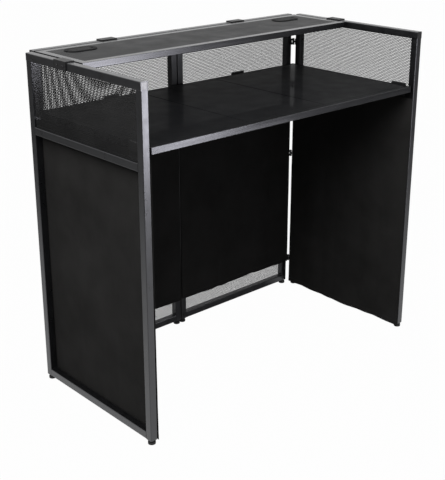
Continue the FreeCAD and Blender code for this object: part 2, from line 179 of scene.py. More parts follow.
def settle(piece, body, slotName, finish, *nodeNames):  # finish, body and what it stands for; slotName is not used
    piece.data.materials.clear()
    piece.data.materials.append(finish)
    selectOnly(piece)
    bpy.ops.object.shade_smooth_by_angle(angle=math.radians(meshing["smoothAngle"]))
    if len(piece.data.polygons) < meshing["finePiece"]:  # flat faces stay flat beside their broken edges
        applyModifier(piece, "WEIGHTED_NORMAL", keep_sharp=True, weight=meshing["flatWeight"])
    if nodeNames:
        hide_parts(*nodeNames)
    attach(piece, body)
    return piece


# finishes

def newFinish(name):
    finish = bpy.data.materials.new(name)
    finish.use_nodes = True
    tree = finish.node_tree
    return finish, tree, tree.nodes["Principled BSDF"]


def addNode(tree, kind, inputs=None, **settings):
    node = tree.nodes.new(kind)
    for key, value in settings.items():
        setattr(node, key, value)
    for key, value in (inputs or {}).items():
        node.inputs[key].default_value = value
    return node


def objectPoint(tree, stretch=(1, 1, 1)):
    where = addNode(tree, "ShaderNodeTexCoord")
    mapping = addNode(tree, "ShaderNodeMapping", {"Scale": stretch})
    tree.links.new(where.outputs["Object"], mapping.inputs["Vector"])
    return mapping.outputs["Vector"]


def addNoise(tree, point, scale, detail=3, rough=0.5):
    node = addNode(tree, "ShaderNodeTexNoise", {"Scale": scale, "Detail": detail, "Roughness": rough})
    tree.links.new(point, node.inputs["Vector"])
    return node.outputs["Fac"]


def addRange(tree, value, low, high, fromLow=0.3, fromHigh=0.7):
    node = addNode(tree, "ShaderNodeMapRange",
                   {"From Min": fromLow, "From Max": fromHigh, "To Min": low, "To Max": high})
    tree.links.new(value, node.inputs["Value"])
    return node.outputs["Result"]


def addBlend(tree, share, first, second):
    node = addNode(tree, "ShaderNodeMix", data_type="RGBA")
    for socket, value in ((node.inputs[6], first), (node.inputs[7], second)):
        if isinstance(value, tuple):
            socket.default_value = (*value, 1)
        else:
            tree.links.new(value, socket)
    tree.links.new(share, node.inputs[0])
    return node.outputs[2]


def addMath(tree, operation, first, second=None):
    node = addNode(tree, "ShaderNodeMath", operation=operation)
    for socket, value in zip(node.inputs, (first, second)):
        if value is None:
            continue
        if isinstance(value, (int, float)):
            socket.default_value = value
        else:
            tree.links.new(value, socket)
    return node.outputs[0]


def addBump(tree, height, distance, strength=1.0, under=None):
    node = addNode(tree, "ShaderNodeBump", {"Distance": distance, "Strength": strength})
    tree.links.new(height, node.inputs["Height"])
    if under:
        tree.links.new(under, node.inputs["Normal"])
    return node.outputs["Normal"]


def coatedFinish(name, looks):  # a coat on a hard piece: mottle, scuffs, sheen that varies, fine grain
    finish, tree, shader = newFinish(name)
    point = objectPoint(tree, looks.get("stretch", (1, 1, 1)))
    plain = objectPoint(tree)
    mottle = addRange(tree, addNoise(tree, plain, looks["mottleScale"], detail=4, rough=0.6), 0, 1)
    scuff = addNoise(tree, point, looks["scuffScale"], detail=5, rough=0.65)
    scuff = addRange(tree, scuff, 0, 1, fromLow=0.62, fromHigh=0.8)
    colour = addBlend(tree, mottle, looks["dark"], looks["light"])
    tree.links.new(addBlend(tree, scuff, colour, looks["worn"]), shader.inputs["Base Color"])
    sheen = addRange(tree, addNoise(tree, point, looks["sheenScale"]), looks["smooth"], looks["dull"])
    tree.links.new(sheen, shader.inputs["Roughness"])
    grain = addNoise(tree, point, looks["grainScale"], detail=2)
    tree.links.new(addBump(tree, grain, looks["grainHeight"]), shader.inputs["Normal"])
    shader.inputs["Metallic"].default_value = looks["metallic"]
    shader.inputs["Specular IOR Level"].default_value = looks["specular"]
    shader.inputs["Specular Tint"].default_value = (*looks.get("tint", (1, 1, 1)), 1)
    return finish


tubeLooks = {
    "dark": (0.0020, 0.0021, 0.0024), "light": (0.0036, 0.0037, 0.0042), "worn": (0.010, 0.0103, 0.011),
    "mottleScale": 9, "scuffScale": 60, "sheenScale": 35, "smooth": 0.27, "dull": 0.35,
    "grainScale": 900, "grainHeight": 0.00004, "metallic": 0.0, "specular": 0.88,
    "tint": (0.95, 0.96, 1.0),
}
sheetLooks = {
    "dark": (0.0200, 0.0200, 0.0202), "light": (0.0270, 0.0270, 0.0272), "worn": (0.034, 0.034, 0.034),
    "mottleScale": 11, "scuffScale": 80, "sheenScale": 40, "smooth": 0.58, "dull": 0.70,
    "grainScale": 1100, "grainHeight": 0.00005, "metallic": 0.0, "specular": 0.01,
}
trimLooks = {
    "dark": (0.0065, 0.0067, 0.0075), "light": (0.0110, 0.0113, 0.0125), "worn": (0.020, 0.0205, 0.022),
    "mottleScale": 7, "scuffScale": 90, "sheenScale": 60, "smooth": 0.22, "dull": 0.31,
    "grainScale": 700, "grainHeight": 0.00003, "metallic": 0.0, "specular": 0.62,
    "tint": (0.95, 0.96, 1.0), "stretch": (0.08, 1, 1),
}
plugLooks = {
    "dark": (0.0060, 0.0062, 0.0068), "light": (0.0100, 0.0102, 0.0110), "worn": (0.017, 0.017, 0.018),
    "mottleScale": 40, "scuffScale": 220, "sheenScale": 120, "smooth": 0.27, "dull": 0.36,
    "grainScale": 1400, "grainHeight": 0.00002, "metallic": 0.0, "specular": 0.88,
}
plateLooks = {
    "dark": (0.0055, 0.0055, 0.0060), "light": (0.0095, 0.0095, 0.0100), "worn": (0.020, 0.020, 0.021),
    "mottleScale": 20, "scuffScale": 110, "sheenScale": 60, "smooth": 0.42, "dull": 0.56,
    "grainScale": 1000, "grainHeight": 0.00005, "metallic": 0.0, "specular": 0.35,
}
hingeLooks = {
    "dark": (0.020, 0.020, 0.021), "light": (0.034, 0.034, 0.036), "worn": (0.090, 0.090, 0.094),
    "mottleScale": 60, "scuffScale": 220, "sheenScale": 160, "smooth": 0.30, "dull": 0.48,
    "grainScale": 1600, "grainHeight": 0.00003, "metallic": 0.6, "specular": 0.5,
}
screwLooks = {
    "dark": (0.024, 0.024, 0.025), "light": (0.044, 0.044, 0.046), "worn": (0.120, 0.120, 0.124),
    "mottleScale": 160, "scuffScale": 400, "sheenScale": 240, "smooth": 0.28, "dull": 0.42,
    "grainScale": 2400, "grainHeight": 0.00002, "metallic": 0.7, "specular": 0.5,
}
plasticLooks = {
    "dark": (0.0022, 0.0022, 0.0024), "light": (0.0040, 0.0040, 0.0042), "worn": (0.009, 0.009, 0.0095),
    "mottleScale": 30, "scuffScale": 160, "sheenScale": 90, "smooth": 0.62, "dull": 0.76,
    "grainScale": 1500, "grainHeight": 0.00006, "metallic": 0.0, "specular": 0.08,
}
lidLooks = {
    "dark": (0.0040, 0.0041, 0.0044), "light": (0.0062, 0.0063, 0.0067), "worn": (0.014, 0.014, 0.015),
    "mottleScale": 40, "scuffScale": 180, "sheenScale": 110, "smooth": 0.50, "dull": 0.62,
    "grainScale": 1700, "grainHeight": 0.00004, "metallic": 0.0, "specular": 0.07,
}
rubberLooks = {
    "dark": (0.016, 0.016, 0.016), "light": (0.026, 0.026, 0.026), "worn": (0.060, 0.059, 0.057),
    "mottleScale": 50, "scuffScale": 180, "sheenScale": 90, "smooth": 0.68, "dull": 0.85,
    "grainScale": 1300, "grainHeight": 0.00008, "metallic": 0.0, "specular": 0.3,
}

tubeFinish = coatedFinish("satinTubeCoat", tubeLooks)
sheetFinish = coatedFinish("perforatedSheetCoat", sheetLooks)
trimFinish = coatedFinish("satinEdgeTrim", trimLooks)
plateFinish = coatedFinish("bracketPaint", plateLooks)
hingeFinish = coatedFinish("darkHingeSteel", hingeLooks)
screwFinish = coatedFinish("blackedScrewSteel", screwLooks)
plasticFinish = coatedFinish("textureBlackPlastic", plasticLooks)
plugFinish = coatedFinish("mouldedPlugPlastic", plugLooks)
lidFinish = coatedFinish("mouldedLidPlastic", lidLooks)
rubberFinish = coatedFinish("footRubber", rubberLooks)

laminateLooks = {
    "dark": (0.0055, 0.0056, 0.0062), "light": (0.0080, 0.0082, 0.0088), "dust": (0.0125, 0.0128, 0.0135),
    "hazeScale": 5, "streakScale": 9, "streakStretch": (2, 14, 6), "sheenScale": 16,
    "pebble": 620, "pebbleHeight": 0.00004, "smooth": 0.42, "dull": 0.52, "specular": 0.03,
    "film": 0.09, "filmRoughness": 0.05,
}
tableLooks = dict(laminateLooks, dark=(0.0036, 0.0037, 0.0043), light=(0.0054, 0.0056, 0.0062),
                  dust=(0.0092, 0.0095, 0.0102), film=0.06, specular=0.02)


def laminateFinishOf(name, looks):  # pebbled laminate with a faint haze of handling
    finish, tree, shader = newFinish(name)
    point = objectPoint(tree)
    pebble = addNode(tree, "ShaderNodeTexVoronoi", {"Scale": looks["pebble"]}, feature="SMOOTH_F1")
    tree.links.new(point, pebble.inputs["Vector"])
    haze = addNoise(tree, point, looks["hazeScale"], detail=5, rough=0.6)
    haze = addRange(tree, haze, 0, 1, fromLow=0.45, fromHigh=0.75)
    streakPoint = objectPoint(tree, looks["streakStretch"])
    streak = addNoise(tree, streakPoint, looks["streakScale"], detail=4, rough=0.7)
    streak = addRange(tree, streak, 0, 1, fromLow=0.58, fromHigh=0.82)
    colour = addBlend(tree, haze, looks["dark"], looks["light"])
    tree.links.new(addBlend(tree, streak, colour, looks["dust"]), shader.inputs["Base Color"])
    sheen = addNoise(tree, point, looks["sheenScale"], detail=4)
    tree.links.new(addRange(tree, sheen, looks["smooth"], looks["dull"]), shader.inputs["Roughness"])
    fine = addBump(tree, pebble.outputs["Distance"], looks["pebbleHeight"])
    tree.links.new(fine, shader.inputs["Normal"])
    shader.inputs["Specular IOR Level"].default_value = looks["specular"]
    shader.inputs["Coat Weight"].default_value = looks["film"]
    shader.inputs["Coat Roughness"].default_value = looks["filmRoughness"]
    return finish


laminateFinish = laminateFinishOf("pebbledShelfLaminate", laminateLooks)
tableFinish = laminateFinishOf("pebbledTableLaminate", tableLooks)

clothLooks = {
    "dark": (0.0170, 0.0166, 0.0162), "light": (0.0270, 0.0263, 0.0258), "lint": (0.040, 0.040, 0.040),
    "toneScale": 6, "lintScale": 320, "lintShare": 0.6, "smooth": 0.86, "dull": 0.97, "specular": 0.06,
    "thread": 0.0011, "weaveHeight": 0.00018, "weaveStrength": 0.5, "hem": 0.018,
    "stitch": 0.0035, "stitchShare": 0.68, "stitchReach": 0.0006,
    "stitchHeight": 0.0004, "stitchStrength": 0.8,
}


def clothFinishOf(name, width, length, looks):  # plain weave on the cloth's own UV, with a stitched hem
    finish, tree, shader = newFinish(name)
    where = addNode(tree, "ShaderNodeTexCoord")
    apart = addNode(tree, "ShaderNodeSeparateXYZ")
    tree.links.new(where.outputs["UV"], apart.inputs["Vector"])
    across = addMath(tree, "MULTIPLY", apart.outputs["X"], width)
    up = addMath(tree, "MULTIPLY", apart.outputs["Y"], length)
    warp = addMath(tree, "SINE", addMath(tree, "MULTIPLY", across, math.pi / looks["thread"]))
    weft = addMath(tree, "SINE", addMath(tree, "MULTIPLY", up, math.pi / looks["thread"]))
    weave = addMath(tree, "MULTIPLY", warp, weft)
    fromSeam = addMath(tree, "ABSOLUTE", addMath(tree, "SUBTRACT", up, looks["hem"]))
    near = addMath(tree, "LESS_THAN", fromSeam, looks["stitchReach"])
    run = addMath(tree, "FRACT", addMath(tree, "DIVIDE", across, looks["stitch"]))
    dash = addMath(tree, "LESS_THAN", run, looks["stitchShare"])
    stitch = addMath(tree, "MULTIPLY", near, dash)
    point = objectPoint(tree)
    tone = addRange(tree, addNoise(tree, point, looks["toneScale"], detail=5, rough=0.6), 0, 1)
    lint = addNoise(tree, point, looks["lintScale"], detail=2)
    lint = addRange(tree, lint, 0, looks["lintShare"], fromLow=0.68, fromHigh=0.82)
    colour = addBlend(tree, tone, looks["dark"], looks["light"])
    colour = addBlend(tree, lint, colour, looks["lint"])
    tree.links.new(addBlend(tree, stitch, colour, looks["lint"]), shader.inputs["Base Color"])
    dullness = addRange(tree, weave, looks["smooth"], looks["dull"], fromLow=-1, fromHigh=1)
    tree.links.new(dullness, shader.inputs["Roughness"])
    threads = addBump(tree, weave, looks["weaveHeight"], looks["weaveStrength"])
    sewn = addBump(tree, stitch, looks["stitchHeight"], looks["stitchStrength"], threads)
    tree.links.new(sewn, shader.inputs["Normal"])
    shader.inputs["Specular IOR Level"].default_value = looks["specular"]
    return finish


print("finishes made:", len(bpy.data.materials))

# panels: u runs along the panel, n from its inner face outward
# patterns are modelled with u on X and n on Y

panelTurns = {"left_side": 90, "front_left": 0, "front_right": 0, "right_side": -90}


def panelPlace(panel):
    low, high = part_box(panel + "_posts")
    turn = panelTurns[panel]
    corner = {90: (high.x, low.y), 0: (low.x, low.y), -90: (low.x, high.y)}[turn]
    return Matrix.Translation((*corner, 0)) @ Matrix.Rotation(math.radians(turn), 4, "Z")


postLow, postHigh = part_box("front_right_posts")
upperLow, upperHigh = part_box("front_right_upper_sheet")
lowerLow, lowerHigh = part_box("front_right_lower_sheet")
panelWidth = postHigh.x - postLow.x
tubeSize = postHigh.y - postLow.y
floorGap, topLevel = postLow.z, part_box("front_right_rails")[1].z
midTop, midUnder = upperLow.z, lowerHigh.z

# tubing

tubing = {
    "corner": 0.0022, "cornerSegments": 3, "wall": 0.0017,
    "weld": 0.0016, "weldShare": 0.86, "weldSides": 10,
    "plugDepth": 0.009, "plugEdge": 0.0007, "dishInset": 0.0022, "dishDepth": 0.0008,
}


def squareTube(name, low, high, axis):
    tube = addBlock(name, low, high)
    editEdges(tube, lambda a, b: abs((a - b).normalized()[axis]) > meshing["facing"])
    bpy.ops.mesh.bevel(offset=tubing["corner"], segments=tubing["cornerSegments"], affect="EDGES")
    leaveEdit()
    return tube


def openEnd(tube, side):  # the rail's end is sunk inside its wall, for the plug
    editFaces(tube, lambda face: face.normal.x * side > meshing["facing"])
    bpy.ops.mesh.inset(thickness=tubing["wall"])
    bpy.ops.mesh.extrude_region_move(
        TRANSFORM_OT_translate={"value": (-side * tubing["plugDepth"], 0, 0)})
    leaveEdit()


def weldBead(u, level):
    bead = addRod("weldBead", tubing["weld"], tubeSize * tubing["weldShare"], (u, tubeSize / 2, level),
                  (math.radians(90), 0, 0), tubing["weldSides"])
    softenEdges(bead, tubing["weld"] / 2)
    return bead


def postsPattern():
    posts = []
    for start in (0, panelWidth - tubeSize):
        foot = (start, 0, floorGap)
        head = (start + tubeSize, tubeSize, topLevel - tubeSize)
        posts.append(squareTube("post", foot, head, 2))
    return joinAll("postsPattern", posts)


def railsPattern():
    ends = tubeSize, panelWidth - tubeSize
    topUnder, bottomTop = topLevel - tubeSize, floorGap + tubeSize
    top = squareTube("topRail", (0, 0, topUnder), (panelWidth, tubeSize, topLevel), 0)
    openEnd(top, -1)
    openEnd(top, 1)
    middle = squareTube("middleRail", (ends[0], 0, midUnder), (ends[1], tubeSize, midTop), 0)
    bottom = squareTube("bottomRail", (ends[0], 0, floorGap), (ends[1], tubeSize, bottomTop), 0)
    beads = [weldBead(u, level) for u in ends for level in (topUnder, midTop, midUnder, bottomTop)]
    return joinAll("railsPattern", [top, middle, bottom] + beads)


def plugsPattern():
    inner = tubing["wall"]
    plugs = []
    for side, start in ((-1, 0), (1, panelWidth - tubing["plugDepth"])):
        plug = addBlock("plug", (start, inner, topLevel - tubeSize + inner),
                        (start + tubing["plugDepth"], tubeSize - inner, topLevel - inner))
        editFaces(plug, lambda face: face.normal.x * side > meshing["facing"])
        bpy.ops.mesh.inset(thickness=tubing["dishInset"])
        bpy.ops.transform.translate(value=(-side * tubing["dishDepth"], 0, 0))  # a shallow dish in its face
        leaveEdit()
        softenEdges(plug, tubing["plugEdge"])
        plugs.append(plug)
    return joinAll("plugsPattern", plugs)


# perforated sheets

perforation = {
    "pitch": 0.0061, "holeRadius": 0.0024, "gauge": 0.00085,
    "spareColumns": 3, "pickShare": 0.05, "mergeReach": 0.00005,
}


def perforatedSheet(name, low, high, lattice):  # six sided holes, staggered, laid out from one point
    pitch, radius = perforation["pitch"], perforation["holeRadius"]
    row = pitch * math.sqrt(3) / 2
    middle = [(a + b) / 2 for a, b in zip(low, high)]
    columns = math.ceil((high[0] - low[0]) / pitch) + perforation["spareColumns"]
    below = math.ceil((lattice[2] - low[2]) / row / 2 + 0.5)
    pairs = below + math.ceil((high[2] - lattice[2]) / row / 2) + 1
    start = (lattice[0] - (columns + 0.5) / 2 * pitch, middle[1], lattice[2] - below * 2 * row)

    def ringCorner(hole, degrees):
        return Vector((start[0] + hole[0] * pitch + radius * math.cos(math.radians(degrees)), start[1],
                       start[2] + hole[1] * row + radius * math.sin(math.radians(degrees))))

    rings = []
    for along, up in ((0, 0), (1, 0), (-0.5, 1), (0.5, 1), (1.5, 1), (0, 2), (1, 2)):
        selectNone()
        bpy.ops.mesh.primitive_circle_add(
            vertices=6, radius=radius, fill_type="NOTHING", rotation=(math.radians(90), 0, 0),
            location=(start[0] + along * pitch, start[1], start[2] + up * row))
        rings.append(fixPlace(bpy.context.object, "ring"))
    sheet = joinAll(name, rings)
    for along, up in ((0, 0), (0.5, 1)):  # the web from a hole to the next ones, right and above
        hole, right = (along, up), (along + 1, up)
        upRight, upLeft = (along + 0.5, up + 1), (along - 0.5, up + 1)
        for corners in (((hole, 30), (hole, 330), (right, 210), (right, 150)),
                        ((hole, 90), (hole, 30), (upRight, 270), (upRight, 210)),
                        ((hole, 150), (hole, 90), (upLeft, 330), (upLeft, 270)),
                        ((hole, 30), (right, 150), (upRight, 270)),
                        ((hole, 90), (upRight, 210), (upLeft, 330))):
            places = [ringCorner(*corner) for corner in corners]
            reach = radius * perforation["pickShare"]
            editPoints(sheet, lambda point: min((point - place).length for place in places) < reach)
            bpy.ops.mesh.edge_face_add()
            leaveEdit()
    editAll(sheet)
    bpy.ops.mesh.delete_loose(use_verts=True, use_edges=True, use_faces=False)
    leaveEdit()
    applyModifier(sheet, "ARRAY", count=columns, use_relative_offset=False, use_constant_offset=True,
                  constant_offset_displace=(pitch, 0, 0))
    applyModifier(sheet, "ARRAY", count=pairs, use_relative_offset=False, use_constant_offset=True,
                  constant_offset_displace=(0, 0, 2 * row))
    editAll(sheet)
    bpy.ops.mesh.remove_doubles(threshold=perforation["mergeReach"])
    for axis in (0, 2):  # trimmed to the frame's opening, through the holes
        for side, edge in ((-1, low[axis]), (1, high[axis])):
            normal, place = [0, 0, 0], list(middle)
            normal[axis], place[axis] = side, edge
            bpy.ops.mesh.select_all(action="SELECT")
            bpy.ops.mesh.bisect(plane_co=place, plane_no=normal, clear_outer=True,
                                threshold=meshing["mergeReach"])
    bpy.ops.mesh.select_all(action="SELECT")
    bpy.ops.mesh.normals_make_consistent(inside=False)
    leaveEdit()
    applyModifier(sheet, "SOLIDIFY", thickness=perforation["gauge"], offset=0)
    return sheet


def localBox(low, high):  # a box of the right front panel in that panel's own frame
    return [(corner.x - postLow.x, corner.y - postLow.y, corner.z) for corner in (low, high)]


# scrims

scrimLow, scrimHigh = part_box("front_right_scrim")
scrim = {
    "margin": scrimLow.x - postLow.x, "bandTop": scrimHigh.z, "bandHeight": 0.025, "gauge": 0.001,
    "strip": 0.003, "stripRelief": 0.0001, "stripEdge": 0.0006,
    "tapeTop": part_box("table_frame")[0].z - 0.001,  # just under the table
    "columns": 96, "rows": 72, "takeUp": 1.002,
    "longHem": 0.05,  # a hem below this level is a long scrim's
    "foldDepth": 0.0052, "foldRound": 1.15, "foldDrop": 1.1,
    "foldShares": (0.13, 0.19, 0.11, 0.22, 0.15, 0.20), "swells": (0.55, 1.0, 0.4, 0.85, 0.6, 0.75),
    "pucker": 0.0005, "puckerWaves": (37, 9, 11, 5), "puckerStart": 3, "curl": 0.0016, "curlReach": 0.03,
    "hemHeight": clothLooks["hem"], "hemBulge": 0.0006, "hemWave": 0.0022, "hemWaves": (9.5, 20),
}
scrimWidth = panelWidth - 2 * scrim["margin"]


def foldSwell(share, swells):  # how far the cloth swells at this share of its width
    begin = 0
    for width, swell in zip(scrim["foldShares"], swells):
        if share <= begin + width:
            return swell * max(0, math.sin(math.pi * (share - begin) / width)) ** scrim["foldRound"]
        begin += width
    return 0


def scrimPattern(name, hem, swells):
    top, foot = scrim["bandTop"], scrim["bandTop"] - scrim["bandHeight"]
    puckers, hemWaves = scrim["puckerWaves"], scrim["hemWaves"]
    selectNone()
    bpy.ops.mesh.primitive_grid_add(
        x_subdivisions=scrim["columns"], y_subdivisions=scrim["rows"], size=1,
        location=(panelWidth / 2, 0, (top + hem) / 2), rotation=(math.radians(90), 0, 0))
    bpy.context.object.scale = (scrimWidth, top - hem, 1)
    cloth = fixPlace(bpy.context.object, name)
    for point in cloth.data.vertices:
        share = min(1, max(0, (point.co.x - scrim["margin"]) / scrimWidth))
        drop = max(0, (foot - point.co.z) / (foot - hem))
        fold = scrim["foldDepth"] * foldSwell(share, swells) * drop ** scrim["foldDrop"]
        across = math.sin(puckers[0] * share + puckers[1] * drop)
        down = math.sin(puckers[2] * drop + puckers[3] * share)
        pucker = scrim["pucker"] * across * down * min(1, scrim["puckerStart"] * drop)
        rise = (point.co.z - hem) / scrim["hemHeight"]
        hemRoll = scrim["hemBulge"] * max(0, 1 - rise ** 4) if rise < 1 else 0
        edge = min(share, 1 - share) * scrimWidth
        curl = scrim["curl"] * max(0, 1 - edge / scrim["curlReach"]) ** 2 * drop ** 2
        wave = 1 + math.sin(hemWaves[0] * share + hemWaves[1] * hem)
        point.co.z += scrim["hemWave"] * drop ** 6 * wave
        point.co.y = -scrim["strip"] - scrim["gauge"] / 2 - fold - abs(pucker) - hemRoll - curl
    applyModifier(cloth, "SOLIDIFY", thickness=scrim["gauge"], offset=0)
    return cloth


def stripPattern():  # the tape that holds the cloth on the middle rail and closes the gap to the table
    low = (scrim["margin"], -scrim["strip"] + scrim["stripRelief"], scrim["bandTop"] - scrim["bandHeight"])
    strip = addBlock("stripPattern", low, (scrim["margin"] + scrimWidth, 0, scrim["tapeTop"]))
    softenEdges(strip, scrim["stripEdge"])
    return strip


# screws: a button head with a hexagon socket

screwSizes = {
    "radius": 0.0045, "height": 0.0016, "rimShare": 0.6, "rimSegments": 3, "topShare": 0.9,
    "socket": 0.0021, "socketInset": 0.0011, "socketDepth": 0.0009, "shank": 0.002, "shankLength": 0.008,
    "places": (0.25, 0.75),  # shares of a saddle's or bracket's length
    "bracketSeat": (0.007, 0.004),  # from the panel's inner face, and above the middle rail
}


def screwPattern():  # stands on Z, its seat at the origin
    height, shankLength = screwSizes["height"], screwSizes["shankLength"]
    nearTop = height * screwSizes["topShare"]
    head = addRod("screwPattern", screwSizes["radius"], height, (0, 0, height / 2))
    editEdges(head, lambda a, b: min(a.z, b.z) > nearTop)
    bpy.ops.mesh.bevel(offset=height * screwSizes["rimShare"], segments=screwSizes["rimSegments"],
                       affect="EDGES")
    leaveEdit()
    editFaces(head, lambda face: face.normal.z > meshing["facing"] and face.center.z > nearTop)
    bpy.ops.mesh.inset(thickness=screwSizes["socketInset"])
    leaveEdit()
    for point in head.data.vertices:
        if point.select:  # the socket's rim becomes a hexagon
            angle = math.atan2(point.co.y, point.co.x)
            fromFlat = (angle % math.radians(60)) - math.radians(30)
            reach = screwSizes["socket"] * math.cos(math.radians(30)) / math.cos(fromFlat)
            point.co.x, point.co.y = reach * math.cos(angle), reach * math.sin(angle)
    selectOnly(head)
    bpy.ops.object.mode_set(mode="EDIT")
    bpy.ops.mesh.extrude_region_move(
        TRANSFORM_OT_translate={"value": (0, 0, -screwSizes["socketDepth"])})
    leaveEdit()
    shank = addRod("shank", screwSizes["shank"], shankLength, (0, 0, -shankLength / 2), sides=12)
    return joinAll("screwPattern", [head, shank])


def screwsPattern(panel):
    single = screwPattern()
    back = panelPlace(panel).inverted()
    saddleEnds = sorted((back @ corner).to_tuple(6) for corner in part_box(panel + "_saddle"))
    bracketEnds = sorted((back @ corner).to_tuple(6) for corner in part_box(panel + "_bracket"))
    outer = max(saddleEnds[0][1], saddleEnds[1][1])
    outward = Matrix.Rotation(math.radians(-90), 4, "X")
    seat, lift = screwSizes["bracketSeat"]
    screws = []
    for share in screwSizes["places"]:
        u = saddleEnds[0][0] + (saddleEnds[1][0] - saddleEnds[0][0]) * share
        place = Matrix.Translation((u, outer, topLevel - tubeSize / 2)) @ outward
        screws.append(copyTo(single, "screw", place))
        u = bracketEnds[0][0] + (bracketEnds[1][0] - bracketEnds[0][0]) * share
        screws.append(copyTo(single, "screw", Matrix.Translation((u, seat, midTop + lift))))
    bpy.data.objects.remove(single)
    return joinAll("screwsPattern", screws)


upperBox = localBox(upperLow, upperHigh)
lowerBox = localBox(lowerLow, lowerHigh)
upperMiddle = [(a + b) / 2 for a, b in zip(*upperBox)]
lowerMiddle = [(a + b) / 2 for a, b in zip(*lowerBox)]
patterns = {
    "posts": postsPattern(),
    "rails": railsPattern(),
    "end_caps": plugsPattern(),
    "upper_sheet": perforatedSheet("upperSheetPattern", *upperBox, upperMiddle),
}
panelFinishes = {
    "posts": (tubeFinish, "frame_tube", "posts"), "rails": (tubeFinish, "frame_tube", "rails"),
    "end_caps": (plugFinish, "black_plastic", "end_caps"),
    "upper_sheet": (sheetFinish, "perforated_sheet", "upper_sheet"),
}
lowerBands = ("lower_sheet_foot", "lower_sheet_middle", "lower_sheet_top")  # one sheet in three pieces
bandHeight = (lowerBox[1][2] - lowerBox[0][2]) / len(lowerBands)
for count, part in enumerate(lowerBands):
    bandLow = (*lowerBox[0][:2], lowerBox[0][2] + count * bandHeight)
    bandHigh = (*lowerBox[1][:2], lowerBox[0][2] + (count + 1) * bandHeight)
    patterns[part] = perforatedSheet("lowerBandPattern", bandLow, bandHigh, lowerMiddle)
    panelFinishes[part] = (sheetFinish, "perforated_sheet", "lower_sheet")
print("panel patterns made; faces of a lower band:", len(patterns[lowerBands[0]].data.polygons))

plateEdge = 0.0010
for panel in panelTurns:
    place = panelPlace(panel)
    for part, pattern in patterns.items():
        finish, slotName, nodePart = panelFinishes[part]
        nodeName = f"{panel}_{nodePart}"
        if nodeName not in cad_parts:  # the scrim alone closes a side panel's lower half
            continue
        piece = copyTo(pattern, camel(f"{panel}_{part}"), place)
        settle(piece, panel, slotName, finish, nodeName)
    nodeName = panel + "_screws"
    screws = screwsPattern(panel)
    screws.data.transform(place)
    screws.name = screws.data.name = camel(nodeName)
    settle(screws, panel, "screw_steel", screwFinish, nodeName)
    for nodeName in (panel + "_saddle", panel + "_bracket"):
        piece = softCopy(nodeName, camel(nodeName), plateEdge)
        settle(piece, panel, "bracket_plate", plateFinish, nodeName)
for pattern in patterns.values():
    bpy.data.objects.remove(pattern)
print("panels dressed")

stripWhole = stripPattern()
clothFinishes = {}
for panel in panelTurns:
    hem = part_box(panel + "_scrim")[0].z
    length = scrim["bandTop"] - hem
    isLong = hem < scrim["longHem"]
    swells = scrim["swells"] if isLong else scrim["swells"][::-1]
    if hem not in clothFinishes:
        clothName = "wovenScrimLong" if isLong else "wovenScrimShort"
        clothFinishes[hem] = clothFinishOf(clothName, scrimWidth, length, clothLooks)
    cloth = scrimPattern(camel(panel + "_scrim"), hem, swells)
    cloth.data.transform(panelPlace(panel))
    settle(cloth, panel, "scrim_cloth", clothFinishes[hem], panel + "_scrim")
    tape = copyTo(stripWhole, camel(panel + "_scrim_tape"), panelPlace(panel))
    settle(tape, panel, "scrim_cloth", plasticFinish)
bpy.data.objects.remove(stripWhole)
print("scrims hung")

# levelling feet: rubber pad, hexagon nut and stem

footSizes = {
    "radius": 0.0125, "pad": 0.009, "padInset": 0.002, "padDish": 0.0006, "padEdge": 0.0012,
    "nut": 0.0095, "nutTop": 0.0147, "nutSink": 0.001, "nutEdge": 0.0006, "stem": 0.004, "stemTop": 0.037,
}


def footPattern():
    padTop, nutTop, stemTop = footSizes["pad"], footSizes["nutTop"], footSizes["stemTop"]
    pad = addRod("pad", footSizes["radius"], padTop, (0, 0, padTop / 2), sides=48)
    editFaces(pad, lambda face: face.normal.z > meshing["facing"])
    bpy.ops.mesh.inset(thickness=footSizes["padInset"])
    bpy.ops.transform.translate(value=(0, 0, -footSizes["padDish"]))
    leaveEdit()
    softenEdges(pad, footSizes["padEdge"])
    nut = addRod("nut", footSizes["nut"], nutTop - padTop + footSizes["nutSink"],
                 (0, 0, (nutTop + padTop - footSizes["nutSink"]) / 2), sides=6)
    softenEdges(nut, footSizes["nutEdge"])
    stem = addRod("stem", footSizes["stem"], stemTop - nutTop, (0, 0, (stemTop + nutTop) / 2), sides=20)
    return joinAll("footPattern", [pad, nut, stem])


footWhole = footPattern()
for nodeName in sorted(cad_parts):
    if nodeName.endswith("_foot"):
        low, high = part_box(nodeName)
        middle = (low + high) / 2
        foot = copyTo(footWhole, camel(nodeName), Matrix.Translation((middle.x, middle.y, 0)))
        settle(foot, nodeName, "rubber_foot", rubberFinish, nodeName)
bpy.data.objects.remove(footWhole)
print("feet made")

# hinges, shelf and table keep their CAD shapes with broken edges

hingeEdge = 0.0004
hingeBodies = {  # the body that a hinge stays on, and the one that swings
    "left_corner": ("front_left", "left_side"),
    "centre": ("front_right", "front_left"),
    "right_corner": ("front_right", "right_side"),
}
for hinge, (fixedBody, swingBody) in hingeBodies.items():
    for part, body in (("fixed_leaves", fixedBody), ("swing_leaves", swingBody), ("pins", fixedBody)):
        nodeName = f"{hinge}_{part}"
        piece = softCopy(nodeName, camel(nodeName), hingeEdge)
        settle(piece, body, "hinge_steel", hingeFinish, nodeName)

